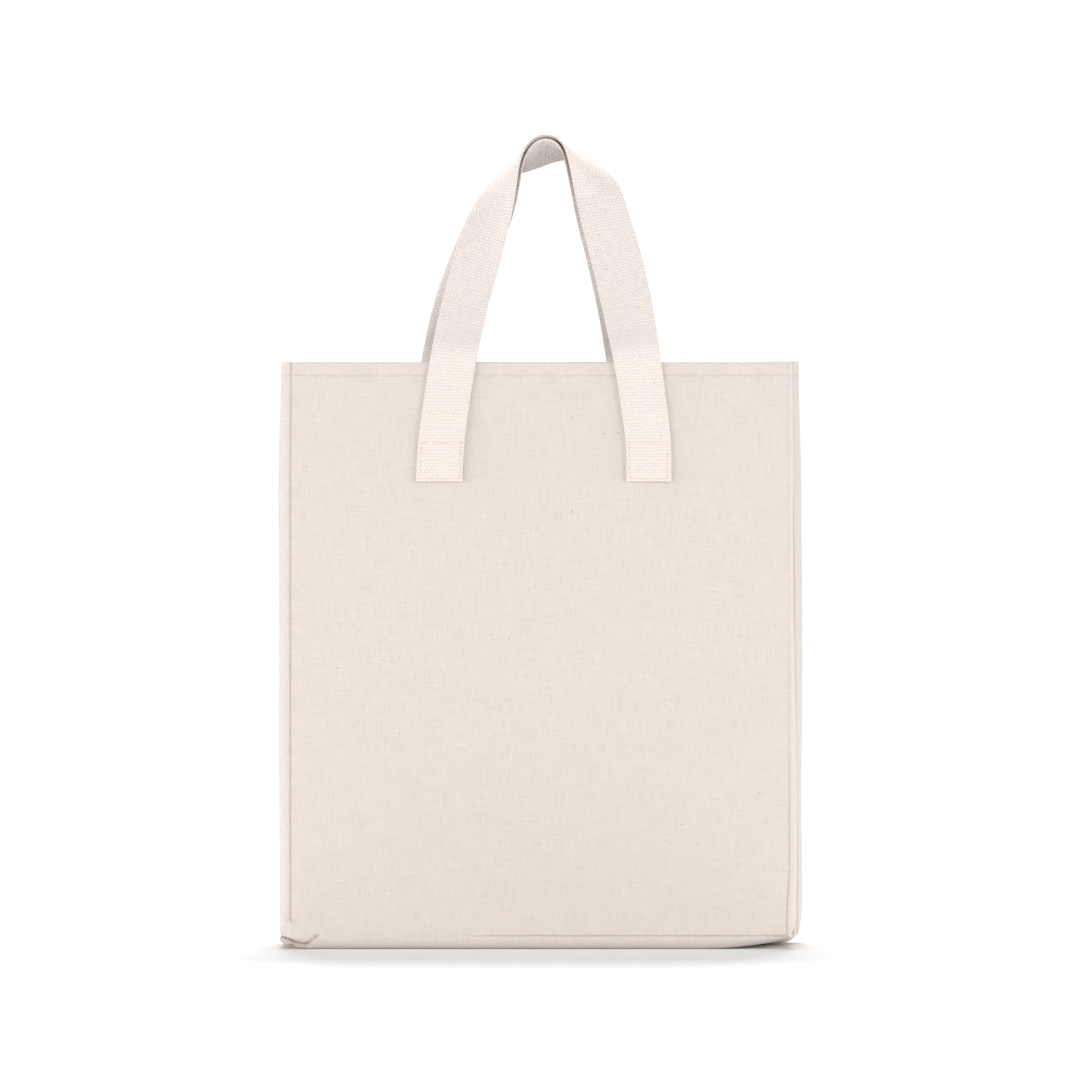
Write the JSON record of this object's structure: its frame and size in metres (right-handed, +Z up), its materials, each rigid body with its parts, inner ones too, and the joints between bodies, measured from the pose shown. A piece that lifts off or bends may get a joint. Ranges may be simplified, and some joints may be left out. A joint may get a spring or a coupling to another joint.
{
  "type": "canvas tote bag",
  "caption": "Upright natural canvas tote bag with a box gusset, turned hem and sewn webbing handles, which folds flat.",
  "frame": {"origin": "middle of the base, on the surface the bag stands on", "axes": "+Z up, the front panel faces -Y, +X to the right as seen from the front"},
  "size_m": [0.3704, 0.1046, 0.5788],
  "materials": {
    "canvas": "matte",
    "cotton_webbing": "matte",
    "cotton_thread": "matte"
  },
  "bodies": {
    "back_panel": {"back_panel": "canvas", "back_hem": "canvas", "back_hem_thread": "cotton_thread", "back_seam_thread": "cotton_thread", "left_base_corner": "canvas", "right_base_corner": "canvas", "back_left_tab": "cotton_webbing", "back_right_tab": "cotton_webbing", "back_left_tab_thread": "cotton_thread", "back_right_tab_thread": "cotton_thread"},
    "front_panel": {"front_panel": "canvas", "front_hem": "canvas", "front_hem_thread": "cotton_thread", "front_seam_thread": "cotton_thread", "front_left_tab": "cotton_webbing", "front_right_tab": "cotton_webbing", "front_left_tab_thread": "cotton_thread", "front_right_tab_thread": "cotton_thread"},
    "left_gusset_front": {"left_gusset_front_half": "canvas", "left_gusset_front_hem": "canvas", "left_gusset_front_hem_thread": "cotton_thread"},
    "left_gusset_back": {"left_gusset_back_half": "canvas", "left_gusset_back_hem": "canvas", "left_gusset_back_hem_thread": "cotton_thread"},
    "right_gusset_front": {"right_gusset_front_half": "canvas", "right_gusset_front_hem": "canvas", "right_gusset_front_hem_thread": "cotton_thread"},
    "right_gusset_back": {"right_gusset_back_half": "canvas", "right_gusset_back_hem": "canvas", "right_gusset_back_hem_thread": "cotton_thread"},
    "base_front": {"base_front_half": "canvas"},
    "front_handle_root": {"front_left_handle_root": "cotton_webbing", "front_right_handle_root": "cotton_webbing"},
    "front_handle": {"front_handle_loop": "cotton_webbing"},
    "base_back": {"base_back_half": "canvas"},
    "back_handle_root": {"back_left_handle_root": "cotton_webbing", "back_right_handle_root": "cotton_webbing"},
    "back_handle": {"back_handle_loop": "cotton_webbing"}
  },
  "joints": [
    {"name": "fold", "type": "hinge", "parent": "back_panel", "child": "left_gusset_back", "pos_m": [-0.1842, 0.0492, 0.2], "axis": [0, 0, 1], "range_deg": [0, 75], "deforming": ["left_base_corner", "right_base_corner"]},
    {"name": "left_gusset_crease", "type": "hinge", "parent": "left_gusset_back", "child": "left_gusset_front", "pos_m": [-0.185, 0, 0.2], "axis": [0, 0, 1], "range_deg": [-150, 0]},
    {"name": "left_front_seam", "type": "hinge", "parent": "left_gusset_front", "child": "front_panel", "pos_m": [-0.1842, -0.0492, 0.2], "axis": [0, 0, 1], "range_deg": [0, 75]},
    {"name": "right_back_seam", "type": "hinge", "parent": "back_panel", "child": "right_gusset_back", "pos_m": [0.1842, 0.0492, 0.2], "axis": [0, 0, 1], "range_deg": [-75, 0]},
    {"name": "right_front_seam", "type": "hinge", "parent": "front_panel", "child": "right_gusset_front", "pos_m": [0.1842, -0.0492, 0.2], "axis": [0, 0, 1], "range_deg": [0, 75]},
    {"name": "back_base_seam", "type": "hinge", "parent": "back_panel", "child": "base_back", "pos_m": [0, 0.0492, 0.0008], "axis": [-1, 0, 0], "range_deg": [0, 75]},
    {"name": "front_base_seam", "type": "hinge", "parent": "front_panel", "child": "base_front", "pos_m": [0, -0.0492, 0.0008], "axis": [1, 0, 0], "range_deg": [0, 75]},
    {"name": "front_handle_spread", "type": "hinge", "parent": "front_panel", "child": "front_handle_root", "pos_m": [0, -0.0523, 0.361], "axis": [1, 0, 0], "range_deg": [0, 9.45]},
    {"name": "back_handle_spread", "type": "hinge", "parent": "back_panel", "child": "back_handle_root", "pos_m": [0, 0.0523, 0.361], "axis": [-1, 0, 0], "range_deg": [0, 9.45]},
    {"name": "front_handle_swing", "type": "hinge", "parent": "front_handle_root", "child": "front_handle", "pos_m": [0, -0.0523, 0.418], "axis": [1, 0, 0], "range_deg": [0, 175]},
    {"name": "back_handle_swing", "type": "hinge", "parent": "back_handle_root", "child": "back_handle", "pos_m": [0, 0.0523, 0.418], "axis": [-1, 0, 0], "range_deg": [0, 175]}
  ],
  "couplings": [
    {"joint": "left_gusset_crease", "follows": "fold", "ratio": -2},
    {"joint": "left_front_seam", "follows": "fold", "ratio": 1},
    {"joint": "right_back_seam", "follows": "fold", "ratio": -1},
    {"joint": "right_front_seam", "follows": "fold", "ratio": 1},
    {"joint": "back_base_seam", "follows": "fold", "ratio": 1},
    {"joint": "front_base_seam", "follows": "fold", "ratio": 1},
    {"joint": "front_handle_spread", "follows": "fold", "ratio": 0.126},
    {"joint": "back_handle_spread", "follows": "fold", "ratio": 0.126}
  ]
}
